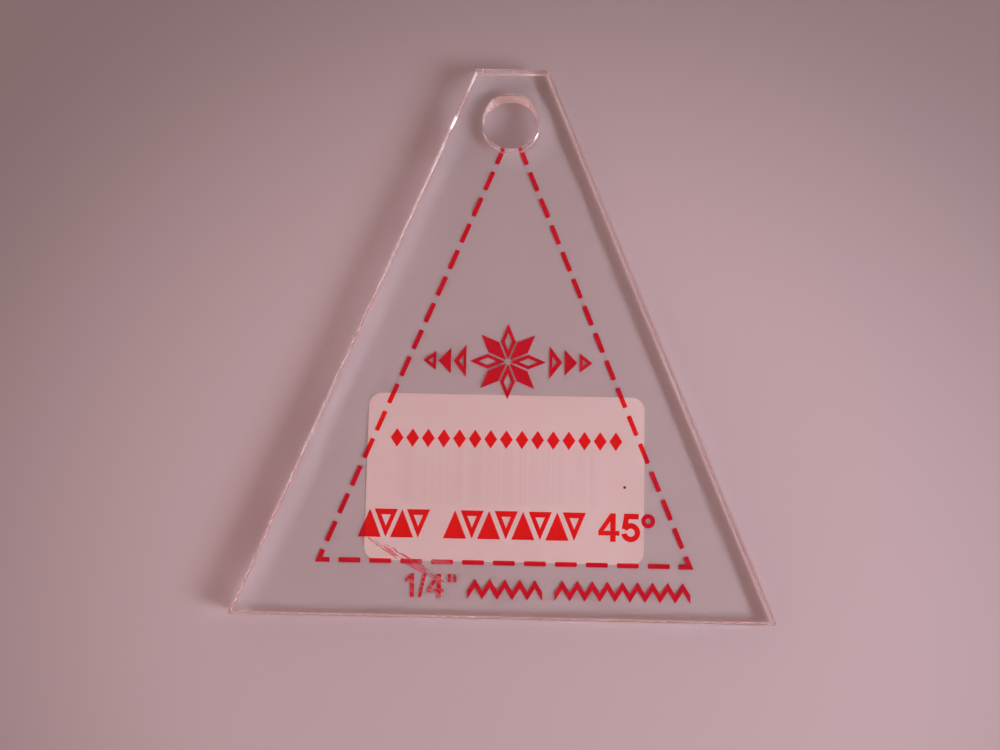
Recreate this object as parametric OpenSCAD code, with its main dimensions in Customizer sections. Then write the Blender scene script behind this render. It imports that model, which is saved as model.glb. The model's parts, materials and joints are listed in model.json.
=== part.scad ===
// Small patchwork template for 45 degree triangles.
//
// A clear acrylic sheet is cut to the outline of the fabric piece. Red ink on its underside
// shows the finished triangle, which is smaller by the seam allowance all round, and a white
// paper label is stuck over the ink from below. The tip is cut off and has a hanging hole.
//
// The template lies on its underside. X runs along its base, Y points to the tip and Z is up.
// The origin is at the middle of the outline, on the surface that the template lies on.
// All sizes are in millimetres.

/* [Triangle] */
// Height of the finished triangle, from its base to its tip
finished_h = 50.8; // [50.5:0.1:52]
// Angle at the tip of the triangle, in degrees
tip_angle = 45; // [44.5:0.1:46]
// Seam allowance around the finished triangle
seam = 6.35; // [6:0.05:8]

/* [Sheet] */
// Thickness of the acrylic sheet
sheet_t = 3; // [2:0.1:5]
// Diameter of the hanging hole, centred on the tip of the finished triangle
hole_d = 6.6; // [6:0.1:8]
// Width of the broken edges around the sheet and the hole
edge_break = 0.12; // [0.05:0.01:0.2]

/* [Printing] */
// Thickness of the ink
ink_t = 0.03; // [0.02:0.01:0.06]
// Width of the dashes of the sewing line
dash_w = 0.54; // [0.4:0.02:0.7]
// Part of the sewing line that its dashes cover
dash_share = 0.71; // [0.6:0.01:0.8]
// Number of dash periods along each sloping side
side_dashes = 16; // [12:1:18]
// Number of dash periods along the base
base_dashes = 12; // [8:1:14]
// Sideways shift of the printing against the sheet
print_shift_x = 0.2; // [-0.3:0.05:0.3]
// Shift of the printing against the sheet, towards the tip
print_shift_y = -0.3; // [-0.3:0.05:0.3]

/* [Label] */
// Length of the paper label, along the base
label_w = 31.75; // [31:0.25:33]
// Width of the paper label
label_h = 19.05; // [18.5:0.05:19.5]
// Corner radius of the label
label_r = 1.5; // [1:0.1:2.5]
// Thickness of the label paper
paper_t = 0.08; // [0.06:0.01:0.15]
// Number of bars in the bar code on the label
bars = 30; // [20:1:34]

/* [Hidden] */
$fn = 96;
eps = 0.5; // how far a cutting tool runs past a face

// The stack, from the surface up: paper, then ink and adhesive side by side, then the sheet
ink_z = paper_t;
sheet_z = ink_z + ink_t;

// The drawing's own origin is the middle of the finished triangle's base
half_angle = tip_angle / 2;
finished_half_w = finished_h * tan(half_angle);
side_len = finished_h / cos(half_angle);
outline_apex_y = finished_h + seam / sin(half_angle); // where the two cut sides would meet
outline_top_y = finished_h + seam;
function outline_half_w(y) = (outline_apex_y - y) * tan(half_angle);
outline = [
    [-outline_half_w(-seam), -seam],
    [outline_half_w(-seam), -seam],
    [outline_half_w(outline_top_y), outline_top_y],
    [-outline_half_w(outline_top_y), outline_top_y]
];
hole_r = hole_d / 2;

// Figures and their lines
dash_corner_r = 0.14;
bold_cap_h = 3.2;     // height of the angle figures and of the triangle row beside them
bold_base_y = 2.65;   // the line that they stand on, above the sewing line
bold_stroke = 0.62;
small_cap_h = 2.65;   // height of the seam allowance figures
small_base_y = -4;    // the line that they stand on, inside the seam allowance
small_stroke = 0.44;
zigzag_h = 2.1;
star_y = 23;          // height of the middle of the quilt star
star_tip_r = 4.7;     // from the star's middle to its points
diamonds_y = 14;      // height of the middle of the row of diamonds

// The label
label_pos = [0.15, 9.3];
bar_depth = 0.03;
bar_h = 7.5;
bars_w = 23.5;
bars_pos = [-0.75, 9.6];  // middle of the bar code
bar_unit = 0.2;           // width of the thinnest bar

ink_red = [0.76, 0.07, 0.11];

// Moves flat shapes from the drawing's origin to the part's, and gives them a thickness
module layer(z, t) {
    translate([0, -finished_h / 2, z]) linear_extrude(height = t) children();
}

// One printed layer: the printing is a little off its nominal place, and it stops at the hole
module ink() {
    color(ink_red) layer(ink_z, ink_t)
        difference() {
            translate([print_shift_x, print_shift_y]) children();
            hole_surround();
        }
}

// Twelve sides around the hole's rim, so that only the sheet has a round wall there
module hole_surround() {
    translate([0, finished_h]) circle(r = (hole_r + edge_break) / cos(180 / 12), $fn = 12);
}

// ---- Sheet ------------------------------------------------------------------------------

// A square bar along the line from p to q, turned so that it takes off a 45 degree corner
module corner_cutter(p, q, z) {
    side = edge_break * sqrt(2);
    run = norm(q - p) + 2 * eps;
    translate([p.x, p.y, z])
        rotate([0, 0, atan2(q.y - p.y, q.x - p.x)])
            translate([-eps, 0, 0])
                rotate([45, 0, 0])
                    translate([0, -side / 2, -side / 2])
                        cube([run, side, side]);
}

module hanging_hole() {
    translate([0, finished_h, -eps]) cylinder(h = sheet_t + 2 * eps, r = hole_r);
    for (end = [0, 1])
        translate([0, finished_h, end * sheet_t])
            mirror([0, 0, end])
                cylinder(h = edge_break, r1 = hole_r + edge_break, r2 = hole_r);
}

module acrylic_plate() {
    color([0.86, 0.92, 0.92, 0.35])
        translate([0, -finished_h / 2, sheet_z])
            difference() {
                linear_extrude(height = sheet_t) polygon(outline);
                for (i = [0:3], z = [0, sheet_t])
                    corner_cutter(outline[i], outline[(i + 1) % 4], z);
                hanging_hole();
            }
}

// ---- Sewing line ------------------------------------------------------------------------

// A dash centred on the origin, with slightly rounded ends
module dash(length) {
    in_x = length / 2 - dash_corner_r;
    in_y = dash_w / 2 - dash_corner_r;
    square([length, 2 * in_y], center = true);
    square([2 * in_x, dash_w], center = true);
    for (x = [-in_x, in_x], y = [-in_y, in_y])
        translate([x, y]) circle(r = dash_corner_r);
}

// A half dash along each side of the base angle, joined at a sharp corner
module corner_mark(base_arm, side_arm) {
    base_angle = 90 - half_angle;
    mitre = dash_w / 2 / tan(base_angle / 2);
    along = [cos(base_angle), sin(base_angle)];
    across = [-sin(base_angle), cos(base_angle)] * dash_w / 2;
    polygon([
        [-mitre, -dash_w / 2],
        [base_arm, -dash_w / 2],
        [base_arm, dash_w / 2],
        [mitre, dash_w / 2],
        along * side_arm - across,
        along * side_arm + across
    ]);
}

module sewing_line() {
    base_period = 2 * finished_half_w / base_dashes;
    side_period = side_len / side_dashes;
    base_dash = base_period * dash_share;
    side_dash = side_period * dash_share;
    for (i = [1:base_dashes - 1])
        translate([-finished_half_w + i * base_period, 0]) dash(base_dash);
    for (flip = [0, 1])
        mirror([flip, 0])
            translate([-finished_half_w, 0]) {
                corner_mark(base_dash / 2, side_dash / 2);
                rotate(90 - half_angle)
                    for (i = [1:side_dashes - 1])
                        translate([i * side_period, 0]) dash(side_dash);
            }
}

module seam_line_print() {
    ink() sewing_line();
}

// ---- Figures ----------------------------------------------------------------------------

// Figures stand on y = 0 with their left edge at x = 0

module figure_1(w, h, stroke) {
    polygon([[w - stroke, 0], [w, 0], [w, h], [w - 0.75 * stroke, h], [0, 0.78 * h],
        [0, 0.78 * h - stroke], [w - stroke, 0.78 * h]]);
}

module figure_4(w, h, stroke) {
    stem_right = 0.82 * w;
    stem_left = stem_right - stroke;
    bar_low = 0.22 * h;
    bar_high = bar_low + 0.85 * stroke;
    difference() {
        polygon([[stem_left, 0], [stem_right, 0], [stem_right, bar_low], [w, bar_low],
            [w, bar_high], [stem_right, bar_high], [stem_right, h], [stem_left, h],
            [0, bar_high], [0, bar_low], [stem_left, bar_low]]);
        polygon([[stroke, bar_high], [stem_left, bar_high], [stem_left, h - 1.5 * stroke]]);
    }
}

module figure_5(w, h, stroke) {
    bowl_r = 0.335 * h;
    bowl = [w - bowl_r, bowl_r];
    stem_x = 0.12 * w;
    difference() {
        translate(bowl) circle(r = bowl_r);
        translate(bowl) circle(r = bowl_r - stroke);
        translate(bowl) polygon([[0, 0], [-2 * h, h], [-2 * h, -0.35 * h]]);
    }
    translate([0, h - stroke]) translate([stem_x, 0]) square([w - stem_x - 0.08 * w, stroke]);
    polygon([[stem_x, h - stroke / 2], [0, 0.46 * h], [stroke, 0.46 * h],
        [stem_x + stroke, h - stroke / 2]]);
}

module degree_sign(r, stroke) {
    difference() {
        circle(r = r);
        circle(r = r - stroke);
    }
}

module angle_figures() {
    ring_r = 0.8;
    translate([10.65, bold_base_y]) figure_4(2.4, bold_cap_h, bold_stroke);
    translate([13.3, bold_base_y]) figure_5(2.1, bold_cap_h, bold_stroke);
    translate([16.3, bold_base_y + bold_cap_h - ring_r]) degree_sign(ring_r, 0.8 * bold_stroke);
}

module angle_figures_print() {
    ink() angle_figures();
}

// Seam allowance: one over four, and the two ticks of the inch
module allowance_figures_print() {
    slash_lean = 0.55;
    tick = [0.34, 0.9];
    ink() translate([0, small_base_y]) {
        translate([-11.1, 0]) figure_1(0.98, small_cap_h, small_stroke);
        translate([-9.65, 0])
            polygon([[0, 0], [0.8 * small_stroke, 0], [slash_lean + 0.8 * small_stroke, small_cap_h],
                [slash_lean, small_cap_h]]);
        translate([-8.6, 0]) figure_4(1.85, small_cap_h, small_stroke);
        for (x = [-6.3, -5.7])
            translate([x, small_cap_h - tick.y]) square(tick);
    }
}

// ---- Patchwork motifs -------------------------------------------------------------------

function shrunk(points, middle, k) = [for (p = points) middle + k * (p - middle)];

// A shape drawn small about its middle, with its own inside left open when fill is false
module patch(points, middle, outer_k, inner_k, fill) {
    difference() {
        polygon(shrunk(points, middle, outer_k));
        if (!fill) polygon(shrunk(points, middle, inner_k));
    }
}

// Eight 45 degree diamonds around a point, solid and open in turn
module eight_point_star() {
    side = star_tip_r / (2 * cos(22.5));
    for (i = [0:7]) {
        a = [cos(i * 45), sin(i * 45)] * side;
        b = [cos(i * 45 + 45), sin(i * 45 + 45)] * side;
        rhomb = [[0, 0], a, a + b, b];
        patch(rhomb, (a + b) / 2, 0.88, 0.45, i % 2 == 0);
    }
}

// A row of triangles that point away from the star and get smaller
module flying_geese() {
    depth = 1.7;
    for (i = [0:2]) {
        half_h = 2.2 - 0.45 * i;
        left = 4.75 + i * (depth + 0.05);
        tri = [[left, -half_h], [left + depth, 0], [left, half_h]];
        patch(tri, [left + depth / 3, 0], 0.86, 0.3, i == 1);
    }
}

module quilt_star_print() {
    ink() translate([0, star_y]) {
        rotate(22.5) eight_point_star();
        for (flip = [0, 1]) mirror([flip, 0]) flying_geese();
    }
}

module diamond_row_print() {
    count = 15;
    diamond = [0.74, 1.08]; // half its width and half its height
    pitch = (26.6 - 2 * diamond.x) / (count - 1);
    ink() for (i = [0:count - 1])
        translate([(i - (count - 1) / 2) * pitch, diamonds_y])
            polygon([[diamond.x, 0], [0, diamond.y], [-diamond.x, 0], [0, -diamond.y]]);
}

// A strip of the template's own triangles, pointing up and down in turn, with even gaps
module triangle_strip(left, count, pitch) {
    half_w = bold_cap_h * tan(half_angle);
    for (i = [0:count - 1]) {
        up = i % 2 == 0;
        middle = [left + half_w + i * pitch, bold_base_y + bold_cap_h / 2];
        point_y = up ? bold_cap_h / 2 : -bold_cap_h / 2;
        tri = [[-half_w, -point_y], [half_w, -point_y], [0, point_y]];
        centroid = [0, -point_y / 3];
        translate(middle) patch(tri, centroid, 1, 0.4, up);
    }
}

module triangle_rows() {
    triangle_strip(-16.7, 4, 1.84);
    triangle_strip(-7, 8, 1.94);
}

module triangle_row_print() {
    ink() triangle_rows();
}

// A zigzag band of even height from x = left, made of whole zigs
module zigzag(left, zigs, pitch) {
    rise = zigzag_h - small_stroke;
    v = small_stroke / 2 * norm([pitch / 2, rise]) / (pitch / 2); // half its upright thickness
    middle_y = zigzag_h / 2;
    function corner(i) = [left + i * pitch / 2, middle_y + (i % 2 == 0 ? -1 : 1) * (rise / 2 - v / 3)];
    top = [for (i = [0:2 * zigs]) corner(i) + [0, v]];
    bottom = [for (i = [2 * zigs:-1:0]) corner(i) - [0, v]];
    polygon(concat(top, bottom));
}

module zigzag_stitch_print() {
    ink() translate([0, small_base_y]) {
        zigzag(-4.1, 5, 1.7);
        zigzag(5.8, 9, 1.7);
    }
}

// ---- Label ------------------------------------------------------------------------------

module label_outline() {
    in_w = label_w - 2 * label_r;
    in_h = label_h - 2 * label_r;
    translate(label_pos) {
        square([label_w, in_h], center = true);
        square([in_w, label_h], center = true);
        for (x = [-in_w / 2, in_w / 2], y = [-in_h / 2, in_h / 2])
            translate([x, y]) circle(r = label_r);
    }
}

// Bars of one to three units, set out at an even pitch
module bar_code() {
    pitch = (bars_w - bar_unit) / (bars - 1);
    for (i = [0:bars - 1]) {
        bar_w = bar_unit * (1 + (5 * i + i % 4) % 3);
        translate([bars_pos.x + (i - (bars - 1) / 2) * pitch, bars_pos.y])
            square([bar_w, bar_h], center = true);
    }
}

// The adhesive fills the label's outline around the ink
module label_adhesive() {
    color([0.93, 0.91, 0.84, 0.6])
        difference() {
            layer(ink_z, ink_t) label_outline();
            seam_line_print();
            angle_figures_print();
            triangle_row_print();
            diamond_row_print();
            quilt_star_print();
        }
}

// The printed side of the label faces down, and its bar code is flush with the paper
module label_paper() {
    color([0.94, 0.92, 0.9])
        difference() {
            layer(0, paper_t) label_outline();
            layer(-bar_depth, 2 * bar_depth) bar_code();
        }
}

module label_barcode() {
    color([0.16, 0.16, 0.17]) layer(0, bar_depth) bar_code();
}

acrylic_plate();
seam_line_print();
angle_figures_print();
allowance_figures_print();
quilt_star_print();
diamond_row_print();
triangle_row_print();
zigzag_stitch_print();
label_adhesive();
label_paper();
label_barcode();
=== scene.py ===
import json
import math

import bmesh
import bpy
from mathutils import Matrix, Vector, noise


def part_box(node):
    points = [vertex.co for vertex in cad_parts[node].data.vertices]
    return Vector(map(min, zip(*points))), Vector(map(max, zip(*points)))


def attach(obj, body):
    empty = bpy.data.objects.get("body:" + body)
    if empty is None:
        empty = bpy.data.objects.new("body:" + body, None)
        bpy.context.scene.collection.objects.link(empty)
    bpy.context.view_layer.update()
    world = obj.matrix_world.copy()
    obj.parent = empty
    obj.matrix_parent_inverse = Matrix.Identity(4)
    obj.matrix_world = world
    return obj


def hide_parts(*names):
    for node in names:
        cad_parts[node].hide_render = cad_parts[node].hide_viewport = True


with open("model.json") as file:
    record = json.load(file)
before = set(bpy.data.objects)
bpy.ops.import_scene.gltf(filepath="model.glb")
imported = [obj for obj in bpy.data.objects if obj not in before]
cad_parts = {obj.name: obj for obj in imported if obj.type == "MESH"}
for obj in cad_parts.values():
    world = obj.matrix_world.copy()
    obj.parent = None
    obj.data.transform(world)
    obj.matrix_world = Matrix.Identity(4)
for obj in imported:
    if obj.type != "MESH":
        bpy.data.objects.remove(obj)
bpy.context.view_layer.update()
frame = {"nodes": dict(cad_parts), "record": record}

# Small patchwork template: a clear acrylic sheet with red ink and a paper label on its underside.
# The sheet, the ink and the label's glue film are built here from the frame's nodes, and stand in
# for them. The ink and the glue are sunk a hair into the sheet, so that they touch it as wet
# layers do. The paper and its bar code stay as the frame has them. All lengths are in metres.

noise.seed_set(1)  # noise_vector differs from run to run without it
MM = 0.001
WELD = 0.001 * MM  # points closer than this are one point

SHEET_LOW, SHEET_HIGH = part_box("acrylic_plate")
LABEL_LOW, LABEL_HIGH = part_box("label_paper")
BARS_LOW, BARS_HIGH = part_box("label_barcode")
FIGURES_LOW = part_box("allowance_figures_print")[0]

# The sheet's cut edges
CORNER_R = 0.22 * MM  # its four corners, seen from above
CORNER_STEPS = 4
ARRIS_R = 0.21 * MM  # the rounded edges between its faces and its walls
ARRIS_STEPS = 8
ARRIS_VARIES = 0.04  # share that the rounding varies by along the edge
ARRIS_GRAIN = 4 * MM  # over what length
SIDE_STEP = 0.5 * MM  # the most between two points along a side
HOLE_STEPS = 160
FACE_SLOT, WALL_SLOT, ARRIS_SLOT = 0, 1, 2  # the sheet's materials

# How rough the sheet's surfaces are, from their smoothest spots to their roughest
HAZE_ROUGHNESS = (0.0, 0.03)
ARRIS_ROUGHNESS = (0.04, 0.10)
DULL_ROUGHNESS = (0.20, 0.32)
FROSTED_ROUGHNESS = (0.30, 0.42)
BORED_ROUGHNESS = (0.04, 0.10)
ACRYLIC_IOR = 1.49

# The rectangle, seen from above, that the frosted right and top walls are in
FROSTED_LOW = SHEET_LOW.xy + Vector((27, 0.8)) * MM
FROSTED_HIGH = SHEET_HIGH.xy + Vector((1, 1)) * MM

# How deep the underside's layers sit in the sheet, so that nothing shares its lower face
INK_SINKS = 0.012 * MM
GLUE_SINKS = 0.006 * MM

# Printed edges
PRINT_STEP = 0.09 * MM  # the most between two points along an edge
PRINT_WANDER = 0.016 * MM  # how far a printed edge wanders
PRINT_GRAIN = 0.16 * MM  # over what length
INK_ROUNDING = 0.012 * MM  # the bevel around a layer's lower face

# A streak of ink dragged across the label's low corner and the seam line
SMEAR_FROM = LABEL_LOW.xy + Vector((0.325, 2.525)) * MM
SMEAR_TO = LABEL_LOW.xy + Vector((9.325, -2.375)) * MM
SMEAR_W = 0.85 * MM
SMEAR_LEVELS = (0.009 * MM, 0.002 * MM)  # its two faces, above the sheet's lower face
SMEAR_STEPS = 60
SMEAR_RAGS = 14  # how many times its outline wanders along its length
SMEAR_RAGGED = 0.5  # share of its width that its outline wanders by
SMEAR_TAPER = 0.6  # how its width grows from its ends, where 1 is a sine and 0 is a step

# Where the ink is rubbed thin, around the seam allowance figures
SCUFF_AT = FIGURES_LOW.xy + Vector((2.9, 1.7)) * MM
SCUFF_R = 4.2 * MM
SCUFF_DEPTH = 0.6

# A fleck of dirt caught under the glue
SPECK_AT = LABEL_LOW.xy + Vector((29.525, 8.725)) * MM
SPECK_R = 0.2 * MM

BURIED_SPECULAR = 0.08  # ink and glue hardly reflect where they wet the acrylic
BARS_SHOW = 0.22  # how far the bars darken the paper above them

INK_NODES = ["seam_line_print", "angle_figures_print", "allowance_figures_print",
             "quilt_star_print", "diamond_row_print", "triangle_row_print", "zigzag_stitch_print"]


# ---- Meshes -----------------------------------------------------------------------------------

def outlines(node):
    """The closed outlines of a flat node's upper face, with the face on their left."""
    bm = bmesh.new()
    bm.from_mesh(frame["nodes"][node].data)
    bmesh.ops.remove_doubles(bm, verts=bm.verts, dist=WELD)
    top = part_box(node)[1].z
    flat = {f for f in bm.faces if all(top - v.co.z < WELD for v in f.verts)}
    after = {}
    for face in (f for f in bm.faces if f in flat):  # in the mesh's order, the same each run
        for corner in face.loops:
            if not flat.issuperset(corner.edge.link_faces):
                after[corner.vert] = corner.link_loop_next.vert
    loops = []
    while after:
        vert, following = after.popitem()
        loop = [vert.co.xy]
        while following in after:
            loop.append(following.co.xy)
            following = after.pop(following)
        loops.append(loop)
    bm.free()
    return loops


def resampled(loop, step):
    """The same outline with a point at least every step."""
    points = []
    for p, q in zip(loop, loop[1:] + loop[:1]):
        count = max(1, math.ceil((q - p).length / step))
        points += [p.lerp(q, i / count) for i in range(count)]
    return points


def wandering(loop):
    """An outline as ink or glue leaves it: each point is off by a little smooth noise."""
    return [p + PRINT_WANDER * noise.noise_vector(p.to_3d() / PRINT_GRAIN).xy for p in loop]


def outward_normals(loop):
    """The unit normal at each point of an outline, away from the face that is on its left."""
    normals = []
    for before, p, after in zip(loop[-1:] + loop[:-1], loop, loop[1:] + loop[:1]):
        along = ((p - before).normalized() + (after - p).normalized()).normalized()
        normals.append(Vector((along.y, -along.x)))
    return normals


def slab(name, loops, levels, rim_share=None, smooth=False, side_slots=(0, 0)):
    """A flat solid with these outlines. Each level, from the top down, is its height, how far the
    outlines are drawn in there, and the angle of the surface's normal above the horizontal.
    rim_share gives the share of a level's drawing in at a point, and side_slots the material
    slots of the upright wall, which is halfway down the levels, and of the rest of the sides."""
    bm = bmesh.new()
    top, bottom = levels[0][0], levels[-1][0]
    wall = len(levels) // 2
    has_wall = levels[wall][2] == 0
    upper_rim, lower_rim, vertex_normals = [], [], []
    for loop in loops:
        normals = outward_normals(loop)
        rings = []
        for height, drawn_in, angle in levels:
            ring = []
            for p, out in zip(loop, normals):
                share = rim_share(p) if rim_share else 1
                rim = top if height > (top + bottom) / 2 else bottom
                z = rim + (height - rim) * share
                ring.append(bm.verts.new((*(p - drawn_in * share * out), z)))
                vertex_normals.append((*(out * math.cos(angle)), math.sin(angle)))
            rings.append(ring)
        for level, (upper, lower) in enumerate(zip(rings, rings[1:]), 1):
            for i in range(len(loop)):
                j = (i + 1) % len(loop)
                side = bm.faces.new((upper[j], upper[i], lower[i], lower[j]))
                side.material_index = side_slots[0 if has_wall and level == wall else 1]
        for rim, ring in ((upper_rim, rings[0]), (lower_rim, rings[-1])):
            rim += [bm.edges.get(pair) for pair in zip(ring, ring[1:] + ring[:1])]
    for up, rim in ((1, upper_rim), (-1, lower_rim)):
        filled = bmesh.ops.triangle_fill(bm, use_beauty=True, edges=rim, normal=(0, 0, up))
        for face in (f for f in filled["geom"] if isinstance(f, bmesh.types.BMFace)):
            face.material_index = FACE_SLOT
            if face.normal.z * up < 0:
                face.normal_flip()
    mesh = bpy.data.meshes.new(name)
    bm.to_mesh(mesh)
    bm.free()
    if smooth:
        mesh.shade_smooth()
        mesh.normals_split_custom_set_from_vertices(vertex_normals)
    piece = bpy.data.objects.new(name, mesh)
    bpy.context.scene.collection.objects.link(piece)
    return piece


def sheet_corners():
    """The corners of the sheet's outline, anticlockwise from the left end of its base."""
    verts = [v.co for v in frame["nodes"]["acrylic_plate"].data.vertices]
    tip_half_w = max(v.x for v in verts if SHEET_HIGH.y - v.y < WELD)
    return [Vector((SHEET_LOW.x, SHEET_LOW.y)), Vector((SHEET_HIGH.x, SHEET_LOW.y)),
            Vector((tip_half_w, SHEET_HIGH.y)), Vector((-tip_half_w, SHEET_HIGH.y))]


def rounded(corners, radius, steps, step):
    """A convex outline with its corners rounded, and a point at least every step."""
    points = []
    count = len(corners)
    for i, corner in enumerate(corners):
        back = (corners[i - 1] - corner).normalized()
        on = (corners[(i + 1) % count] - corner).normalized()
        half = back.angle(on) / 2
        centre = corner + (back + on).normalized() * radius / math.sin(half)
        start = corner + back * radius / math.tan(half) - centre
        turn = math.pi - 2 * half
        for k in range(steps + 1):
            a = turn * k / steps
            points.append(centre + Vector((start.x * math.cos(a) - start.y * math.sin(a),
                                           start.x * math.sin(a) + start.y * math.cos(a))))
    return resampled(points, step)


def hole():
    """The hanging hole's centre and radius."""
    mount = next(m for m in frame["record"]["mounts"] if m["name"] == "hanging_hole")
    return Vector(mount["pos_m"][:2]), mount["dims"]["r_mm"] * MM


def hole_outline():
    """The hanging hole's rim, clockwise, so that the sheet is on its left."""
    centre, r = hole()
    angles = [-2 * math.pi * i / HOLE_STEPS for i in range(HOLE_STEPS)]
    return [centre + Vector((r * math.cos(a), r * math.sin(a))) for a in angles]


def sheet_levels():
    """The sheet's edge from its upper face to its lower one: a quarter round, a wall, another."""
    quarter = [math.pi / 2 * (1 - k / ARRIS_STEPS) for k in range(ARRIS_STEPS + 1)]
    upper = [(SHEET_HIGH.z - ARRIS_R * (1 - math.sin(a)), ARRIS_R * (1 - math.cos(a)), a)
             for a in quarter]
    lower = [(SHEET_LOW.z + ARRIS_R * (1 - math.sin(a)), ARRIS_R * (1 - math.cos(a)), -a)
             for a in reversed(quarter)]
    return upper + lower


def arris_share(p):
    """How the edge's rounding varies from place to place."""
    return 1 + ARRIS_VARIES * noise.noise(p.to_3d() / ARRIS_GRAIN)


def clear_sheet():
    """The sheet, in place of the CAD one, with its edges rounded."""
    outline = rounded(sheet_corners(), CORNER_R, CORNER_STEPS, SIDE_STEP)
    sheet = slab("clear_sheet", [outline, hole_outline()], sheet_levels(), arris_share,
                 smooth=True, side_slots=(WALL_SLOT, ARRIS_SLOT))
    materials = [acrylic_face(), acrylic_cut_wall(), acrylic_arris()]
    finish_piece(sheet, "clear_acrylic", materials, "acrylic_plate")


def printed_layer(name, node, sinks, slot, materials):
    """Ink or glue with a node's outline, from the node's lower face up into the sheet."""
    low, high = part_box(node)
    loops = [wandering(resampled(loop, PRINT_STEP)) for loop in outlines(node)]
    levels = [(high.z + sinks, 0, 0), (low.z + INK_ROUNDING, 0, 0), (low.z, INK_ROUNDING, 0)]
    finish_piece(slab(name, loops, levels), slot, materials, node)


def smear_turn():
    """The angle that the smear runs at, from +X."""
    along = SMEAR_TO - SMEAR_FROM
    return math.atan2(along.y, along.x)


def ink_smear():
    """The streak: a film that is widest halfway along, with a ragged outline."""
    along = SMEAR_TO - SMEAR_FROM
    across = Vector((-along.y, along.x)).normalized()
    sides = ([], [])
    for i in range(1, SMEAR_STEPS):
        t = i / SMEAR_STEPS
        for side, sign in zip(sides, (-1, 1)):
            ragged = 1 + SMEAR_RAGGED * noise.noise((SMEAR_RAGS * t, 3 * sign, 0))
            half = SMEAR_W / 2 * math.sin(math.pi * t) ** SMEAR_TAPER * ragged
            side.append(SMEAR_FROM + t * along + sign * half * across)
    loop = [SMEAR_FROM, *sides[0], SMEAR_TO, *reversed(sides[1])]
    levels = [(SHEET_LOW.z + height, 0, 0) for height in SMEAR_LEVELS]
    finish_piece(slab("ink_smear", [loop], levels), "red_ink", [smeared_ink()])


def finish_piece(piece, slot, materials, *nodes):
    """Gives a piece its materials and its body, and the nodes it stands in for. The slot argument
    is not used.
    """
    for material in materials:
        piece.data.materials.append(material)
    if nodes:
        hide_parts(*nodes)
    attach(piece, "root")


# ---- Materials --------------------------------------------------------------------------------

# Colours as red, green and blue. Where there are two, noise mixes them.
ACRYLIC_TINT = (0.985, 0.983, 0.976)
# The two reds below are unlit and lit copies of one ink: the brighter one, used over the label,
# is painted light for the light that the white paper sends back through the ink.
BARE_RED = (0.58, 0.007, 0.026), (0.72, 0.011, 0.038)
RED_PAINTED_BACKLIT = (0.84, 0.010, 0.012), (0.93, 0.015, 0.016)
RUBBED_RED = (0.72, 0.36, 0.40)
DRAGGED_RED = (0.95, 0.50, 0.56), (0.86, 0.13, 0.24)
LABEL_WHITE = (0.87, 0.915, 0.905), (0.895, 0.94, 0.93)
LABEL_FIBRES = (0.84, 0.855, 0.845)
BARS_THROUGH_LABEL = (0.70, 0.70, 0.71)
DIRT = (0.03, 0.025, 0.025)
STOCK_WHITE = (0.80, 0.785, 0.765), (0.88, 0.87, 0.85)
BAR_BLACK = (0.018, 0.018, 0.02), (0.05, 0.05, 0.054)
BAR_PINHOLES = (0.5, 0.49, 0.48)


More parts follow.
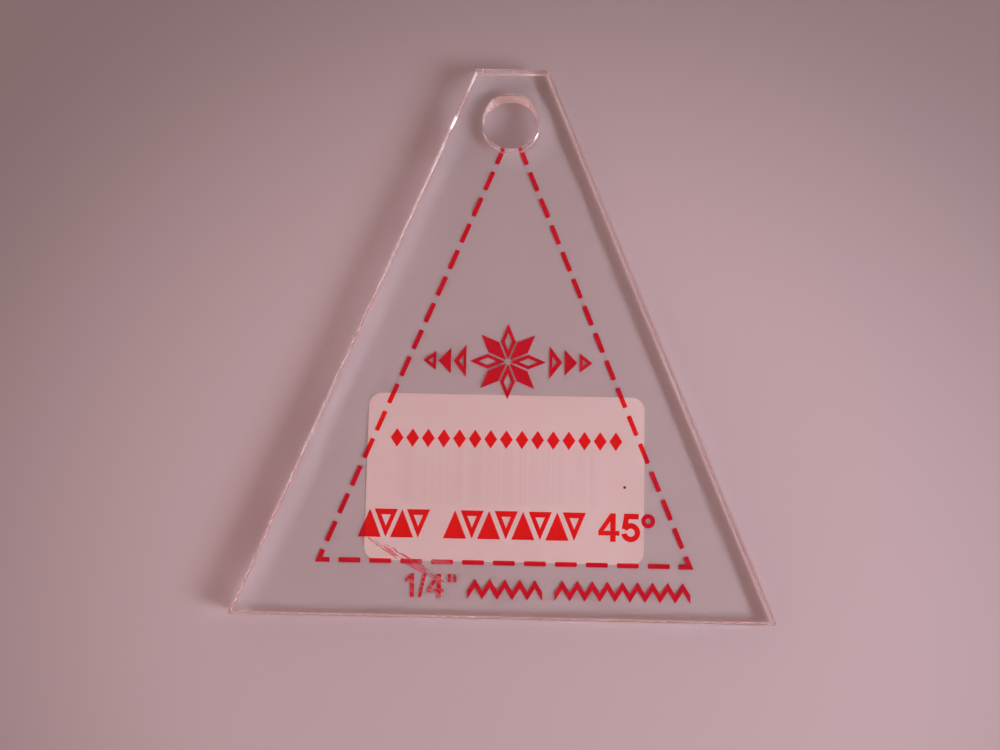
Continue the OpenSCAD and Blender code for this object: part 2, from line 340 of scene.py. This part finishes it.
class Tree:
    """A material's nodes, with short calls for the ones used here."""

    def __init__(self, name):
        self.material = bpy.data.materials.new(name)
        self.material.use_nodes = True
        self.nodes = self.material.node_tree.nodes
        self.shader = self.nodes["Principled BSDF"]
        self.place = self.add("ShaderNodeTexCoord").outputs["Object"]

    def add(self, kind, **settings):
        node = self.nodes.new(kind)
        for key, value in settings.items():
            setattr(node, key, value)
        return node

    def feed(self, socket, value):
        """Links a socket to another one, or sets its number or colour."""
        if isinstance(value, bpy.types.NodeSocket):
            self.material.node_tree.links.new(value, socket)
        else:
            socket.default_value = (*value, 1) if socket.type == "RGBA" else value

    def maths(self, operation, a, b=0.0):
        node = self.add("ShaderNodeMath", operation=operation)
        self.feed(node.inputs[0], a)
        self.feed(node.inputs[1], b)
        return node.outputs[0]

    def noise(self, size, detail=2.0, stretch=(1, 1, 1), distortion=0.0, turn=0.0):
        """Smooth noise from 0 to 1, with features of that size, longer along stretch, and
        turned by that angle about Z."""
        mapping = self.add("ShaderNodeMapping", vector_type="TEXTURE")
        mapping.inputs["Scale"].default_value = stretch
        mapping.inputs["Rotation"].default_value = (0, 0, turn)
        self.feed(mapping.inputs["Vector"], self.place)
        node = self.add("ShaderNodeTexNoise")
        node.inputs["Scale"].default_value = 1 / size
        node.inputs["Detail"].default_value = detail
        node.inputs["Distortion"].default_value = distortion
        self.feed(node.inputs["Vector"], mapping.outputs[0])
        return node.outputs["Fac"]

    def ranged(self, value, low, high, to_low=0.0, to_high=1.0):
        """value, with low to high spread over to_low to to_high and held at the ends."""
        node = self.add("ShaderNodeMapRange", interpolation_type="SMOOTHSTEP")
        for name, x in (("Value", value), ("From Min", low), ("From Max", high),
                        ("To Min", to_low), ("To Max", to_high)):
            self.feed(node.inputs[name], x)
        return node.outputs[0]

    def mixed(self, share, a, b):
        """Colour a where share is 0 and colour b where it is 1."""
        node = self.add("ShaderNodeMix", data_type="RGBA")
        self.feed(node.inputs["Factor"], share)
        self.feed(node.inputs["A"], a)
        self.feed(node.inputs["B"], b)
        return node.outputs["Result"]

    def blended(self, share, a, b):
        """Number a where share is 0 and number b where it is 1."""
        node = self.add("ShaderNodeMix")
        self.feed(node.inputs["Factor"], share)
        self.feed(node.inputs["A"], a)
        self.feed(node.inputs["B"], b)
        return node.outputs["Result"]

    def bump(self, height, distance):
        """Bumps that rise by that distance where height is 1."""
        node = self.add("ShaderNodeBump")
        node.inputs["Distance"].default_value = distance
        node.inputs["Strength"].default_value = 1.0
        self.feed(node.inputs["Height"], height)
        self.feed(self.shader.inputs["Normal"], node.outputs[0])

    def axes(self):
        """The place's X, Y and Z."""
        node = self.add("ShaderNodeSeparateXYZ")
        self.feed(node.inputs[0], self.place)
        return node.outputs

    def away_from(self, point):
        """The distance from a point, seen from above."""
        squares = [self.maths("POWER", self.maths("SUBTRACT", value, at), 2)
                   for value, at in zip(self.axes(), point)]
        return self.maths("SQRT", self.maths("ADD", *squares))

    def within(self, low, high, soft):
        """1 inside the rectangle from low to high, seen from above, and 0 outside it."""
        x, y = self.axes()[:2]
        inside = 1.0
        for value, least, most in ((x, low.x, high.x), (y, low.y, high.y)):
            off = self.maths("ABSOLUTE", self.maths("SUBTRACT", value, (least + most) / 2))
            half = (most - least) / 2
            inside = self.maths("MULTIPLY", inside, self.ranged(off, half - soft, half, 1, 0))
        return inside


def acrylic(name, roughness):
    """Clear acrylic, with the roughness that the given function makes."""
    tree = Tree(name)
    tree.feed(tree.shader.inputs["Base Color"], ACRYLIC_TINT)
    tree.shader.inputs["Transmission Weight"].default_value = 1.0
    tree.shader.inputs["IOR"].default_value = ACRYLIC_IOR
    tree.feed(tree.shader.inputs["Roughness"], roughness(tree))
    return tree


def acrylic_face():
    """The sheet's moulded faces: almost perfectly smooth, with faint handling haze."""
    def haze(tree):
        smudges = tree.noise(9 * MM, detail=3, distortion=0.6)
        return tree.ranged(smudges, 0.55, 0.8, *HAZE_ROUGHNESS)
    tree = acrylic("acrylic_face", haze)
    tree.bump(tree.noise(6 * MM, detail=1), 0.004 * MM)
    return tree.material


def acrylic_cut_wall():
    """The sheet's cut walls: nearly clear in the drilled hole, a little dull on the base and the
    left side, frosted on the others, with fine marks of the cutter across the edge."""
    def frosted(tree):
        grain = tree.noise(0.7 * MM, detail=3)
        dull = tree.ranged(grain, 0.3, 0.7, *DULL_ROUGHNESS)
        frost = tree.ranged(grain, 0.3, 0.7, *FROSTED_ROUGHNESS)
        bored = tree.ranged(grain, 0.3, 0.7, *BORED_ROUGHNESS)
        frosted_side = tree.within(FROSTED_LOW, FROSTED_HIGH, soft=0.5 * MM)
        centre, r = hole()
        in_hole = tree.ranged(tree.away_from(centre), r + 0.1 * MM, r + 0.4 * MM, 1, 0)
        return tree.blended(in_hole, tree.blended(frosted_side, dull, frost), bored)
    tree = acrylic("acrylic_cut_wall", frosted)
    tree.bump(tree.noise(0.25 * MM, detail=2, stretch=(1, 1, 12)), 0.004 * MM)
    return tree.material


def acrylic_arris():
    """The rounded edges between faces and walls, smoothed by handling."""
    def worn(tree):
        return tree.ranged(tree.noise(0.9 * MM, detail=2), 0.35, 0.65, *ARRIS_ROUGHNESS)
    return acrylic("acrylic_arris", worn).material


def red_ink():
    """Screen ink: a warmer red over the white label, which is painted light for the light that
    the paper sends back through the ink, a deeper one where the sheet is bare, and rubbed thin
    around the seam allowance figures."""
    tree = Tree("red_ink")
    # Painted light: inside the label's rectangle the ink takes the brighter red, for light the
    # paper sends back through it.
    painted_backlight_share = tree.within(LABEL_LOW, LABEL_HIGH, soft=0.15 * MM)
    cloudy = tree.noise(0.9 * MM, detail=3)
    ink_with_painted_backlight = tree.mixed(painted_backlight_share, tree.mixed(cloudy, *BARE_RED), tree.mixed(cloudy, *RED_PAINTED_BACKLIT))
    near = tree.ranged(tree.away_from(SCUFF_AT), 0.4 * SCUFF_R, SCUFF_R, 1, 0)
    scratches = tree.noise(0.3 * MM, detail=3, stretch=(6, 1, 1), turn=smear_turn())
    rubs = tree.maths("MULTIPLY", tree.ranged(scratches, 0.46, 0.62), SCUFF_DEPTH)
    rubbed = tree.maths("MULTIPLY", near, rubs)
    tree.feed(tree.shader.inputs["Base Color"], tree.mixed(rubbed, ink_with_painted_backlight, RUBBED_RED))
    tree.shader.inputs["Specular IOR Level"].default_value = BURIED_SPECULAR
    tree.feed(tree.shader.inputs["Roughness"], tree.ranged(cloudy, 0.3, 0.7, 0.42, 0.55))
    tree.bump(tree.noise(0.08 * MM, detail=2), 0.004 * MM)
    return tree.material


def smeared_ink():
    """Ink that was dragged before it dried: thin streaks that the sheet shows between."""
    tree = Tree("smeared_ink")
    streaks = tree.noise(0.22 * MM, detail=3, stretch=(10, 1, 1), turn=smear_turn())
    patches = tree.ranged(tree.noise(1.6 * MM, detail=2), 0.36, 0.58, 0.15, 1.0)
    cover = tree.maths("MULTIPLY", patches, tree.ranged(streaks, 0.40, 0.64, 0.1, 0.85))
    tree.feed(tree.shader.inputs["Base Color"], tree.mixed(streaks, *DRAGGED_RED))
    tree.feed(tree.shader.inputs["Alpha"], cover)
    tree.shader.inputs["Roughness"].default_value = 0.5
    tree.shader.inputs["Specular IOR Level"].default_value = BURIED_SPECULAR
    return tree.material


def label_glue():
    """The label as the sheet's glue shows it: white paper, with the bars a shade darker."""
    tree = Tree("label_glue")
    mottle = tree.noise(0.6 * MM, detail=4)
    fibres = tree.noise(0.12 * MM, detail=2, stretch=(5, 1, 1), distortion=0.8)
    bars = tree.within(BARS_LOW, BARS_HIGH, soft=0.8 * MM)
    streaks = tree.noise(0.28 * MM, detail=1, stretch=(1, 90, 1))
    shade = tree.maths("MULTIPLY", bars, tree.ranged(streaks, 0.35, 0.65, 0.3, 1.0))
    paper = tree.mixed(tree.ranged(fibres, 0.55, 0.75, 0.0, 0.35),
                       tree.mixed(mottle, *LABEL_WHITE), LABEL_FIBRES)
    shaded = tree.mixed(tree.maths("MULTIPLY", shade, BARS_SHOW), paper, BARS_THROUGH_LABEL)
    speck = tree.ranged(tree.away_from(SPECK_AT), 0.6 * SPECK_R, SPECK_R, 1, 0)
    tree.feed(tree.shader.inputs["Base Color"], tree.mixed(speck, shaded, DIRT))
    tree.shader.inputs["Roughness"].default_value = 0.55
    tree.shader.inputs["Specular IOR Level"].default_value = BURIED_SPECULAR
    tree.bump(fibres, 0.003 * MM)
    return tree.material


def label_stock():
    """The label's outer side: coated paper with a faint grain of fibres."""
    tree = Tree("label_stock")
    fibres = tree.noise(0.15 * MM, detail=3, stretch=(6, 1, 1), distortion=0.8)
    tree.feed(tree.shader.inputs["Base Color"], tree.mixed(fibres, *STOCK_WHITE))
    tree.feed(tree.shader.inputs["Roughness"], tree.ranged(fibres, 0.3, 0.7, 0.45, 0.62))
    tree.bump(fibres, 0.006 * MM)
    return tree.material


def black_ink():
    """The bars: thermal print with a little fading and pinholes."""
    tree = Tree("black_ink")
    fading = tree.noise(0.8 * MM, detail=4)
    pinholes = tree.noise(0.05 * MM, detail=1)
    worn = tree.mixed(fading, *BAR_BLACK)
    holed = tree.mixed(tree.ranged(pinholes, 0.7, 0.78, 0, 0.7), worn, BAR_PINHOLES)
    tree.feed(tree.shader.inputs["Base Color"], holed)
    tree.feed(tree.shader.inputs["Roughness"], tree.ranged(fading, 0.3, 0.7, 0.35, 0.5))
    return tree.material


def repaint(node, material):
    """Gives a frame node that stays a better material."""
    for slot in frame["nodes"][node].material_slots:
        slot.material = material


# ---- Stage ------------------------------------------------------------------------------------

CAMERA_AT = Vector((0.39, -16.59, 116.06)) * MM
CAMERA_TURN = (6.13, 0.41, 1.18)  # degrees about X, Y and Z
LENS, SENSOR = 36, 36
CLIP_START = 5 * MM

FLOOR_R = 3.0
FLOOR_SIDES = 96
# The floor's colour holds a painted pool of light: it is palest at one spot and darkens away from
# it as painted shade.
FLOOR_PAINTED_LIT, FLOOR_PAINTED_SHADE = (0.54, 0.57, 0.595), (0.285, 0.30, 0.31)
FLOOR_PAINTED_LIGHT_AT = Vector((5, -30)) * MM  # where the floor's painted pool of light is brightest
FLOOR_PAINTED_FADE = (36 * MM, 92 * MM)  # how far from there the painted shade starts and stops darkening the floor
KEY_AT = (-21, 32, 0.40)  # azimuth and elevation in degrees, and distance
KEY_SIZE, KEY_POWER = 0.17, 0.86
KEY_COLOUR = (1.0, 0.83, 0.95)
SKY_COLOUR = (1.0, 0.54, 0.505)
SKY_LOW, SKY_ZENITH = 0.76, 0.12  # strengths at the horizon and straight above
SKY_DIMS = (0.80, 0.92)  # sines of the elevations between which it dims
BACKDROP_COLOUR = (0.235, 0.132, 0.125)  # beyond the floor: as the floor looks far away


def camera():
    data = bpy.data.cameras.new("camera")
    data.lens, data.sensor_width = LENS, SENSOR
    data.clip_start = CLIP_START
    eye = bpy.data.objects.new("camera", data)
    eye.location = CAMERA_AT
    eye.rotation_euler = [math.radians(a) for a in CAMERA_TURN]
    bpy.context.scene.collection.objects.link(eye)
    bpy.context.scene.camera = eye


def floor():
    mesh = bpy.data.meshes.new("floor")
    bm = bmesh.new()
    bmesh.ops.create_circle(bm, cap_ends=True, segments=FLOOR_SIDES, radius=FLOOR_R)
    bm.to_mesh(mesh)
    bm.free()
    tree = Tree("floor")
    # Painted light and shade: the floor darkens with distance from one spot.
    painted_falloff = tree.ranged(tree.away_from(FLOOR_PAINTED_LIGHT_AT), *FLOOR_PAINTED_FADE)
    tree.feed(tree.shader.inputs["Base Color"], tree.mixed(painted_falloff, FLOOR_PAINTED_LIT, FLOOR_PAINTED_SHADE))
    tree.shader.inputs["Roughness"].default_value = 0.9
    mesh.materials.append(tree.material)
    ground = bpy.data.objects.new("floor", mesh)
    bpy.context.scene.collection.objects.link(ground)


def soft_box(name, at, size, power, tint):
    """A round lamp at that azimuth, anticlockwise from +X, elevation and distance, facing the
    object."""
    azimuth, elevation, distance = math.radians(at[0]), math.radians(at[1]), at[2]
    data = bpy.data.lights.new(name, "AREA")
    data.shape, data.size, data.energy, data.color = "DISK", size, power, tint
    lamp = bpy.data.objects.new(name, data)
    towards = Vector((math.cos(azimuth) * math.cos(elevation),
                      math.sin(azimuth) * math.cos(elevation), math.sin(elevation)))
    lamp.location = towards * distance
    lamp.rotation_euler = towards.to_track_quat("Z", "Y").to_euler()
    lamp.visible_camera = False
    bpy.context.scene.collection.objects.link(lamp)


def sky():
    """Soft light from all round, dim straight above, where the photographer leans over, with a
    plain backdrop in front of it."""
    world = bpy.data.worlds.new("studio")
    world.use_nodes = True
    bpy.context.scene.world = world
    nodes, links = world.node_tree.nodes, world.node_tree.links
    place = nodes.new("ShaderNodeTexCoord")
    axes = nodes.new("ShaderNodeSeparateXYZ")
    strength = nodes.new("ShaderNodeMapRange")
    for name, x in zip(("From Min", "From Max", "To Min", "To Max"),
                       (*SKY_DIMS, SKY_LOW, SKY_ZENITH)):
        strength.inputs[name].default_value = x
    background = nodes["Background"]
    background.inputs["Color"].default_value = (*SKY_COLOUR, 1)
    links.new(place.outputs["Generated"], axes.inputs[0])
    links.new(axes.outputs["Z"], strength.inputs["Value"])
    links.new(strength.outputs[0], background.inputs["Strength"])
    backdrop = nodes.new("ShaderNodeBackground")
    backdrop.inputs["Color"].default_value = (*BACKDROP_COLOUR, 1)
    path = nodes.new("ShaderNodeLightPath")
    shown = nodes.new("ShaderNodeMixShader")
    links.new(path.outputs["Is Camera Ray"], shown.inputs[0])
    links.new(background.outputs[0], shown.inputs[1])
    links.new(backdrop.outputs[0], shown.inputs[2])
    links.new(shown.outputs[0], nodes["World Output"].inputs["Surface"])


def render_settings():
    scene = bpy.context.scene
    scene.view_settings.view_transform = "Standard"
    scene.cycles.use_denoising = True
    scene.cycles.max_bounces = 32
    scene.cycles.transmission_bounces = 32
    scene.cycles.glossy_bounces = 32
    scene.cycles.diffuse_bounces = 8
    scene.cycles.blur_glossy = 0.0
    scene.cycles.use_adaptive_sampling = False


# ---- The object -------------------------------------------------------------------------------

camera()
floor()
sky()
soft_box("key", KEY_AT, KEY_SIZE, KEY_POWER, KEY_COLOUR)

clear_sheet()
ink = red_ink()
for node in INK_NODES:
    printed_layer(node.replace("_print", "_ink"), node, INK_SINKS, "red_ink", [ink])
ink_smear()
printed_layer("label_glue_film", "label_adhesive", GLUE_SINKS, "label_glue", [label_glue()])
repaint("label_paper", label_stock())
repaint("label_barcode", black_ink())

render_settings()
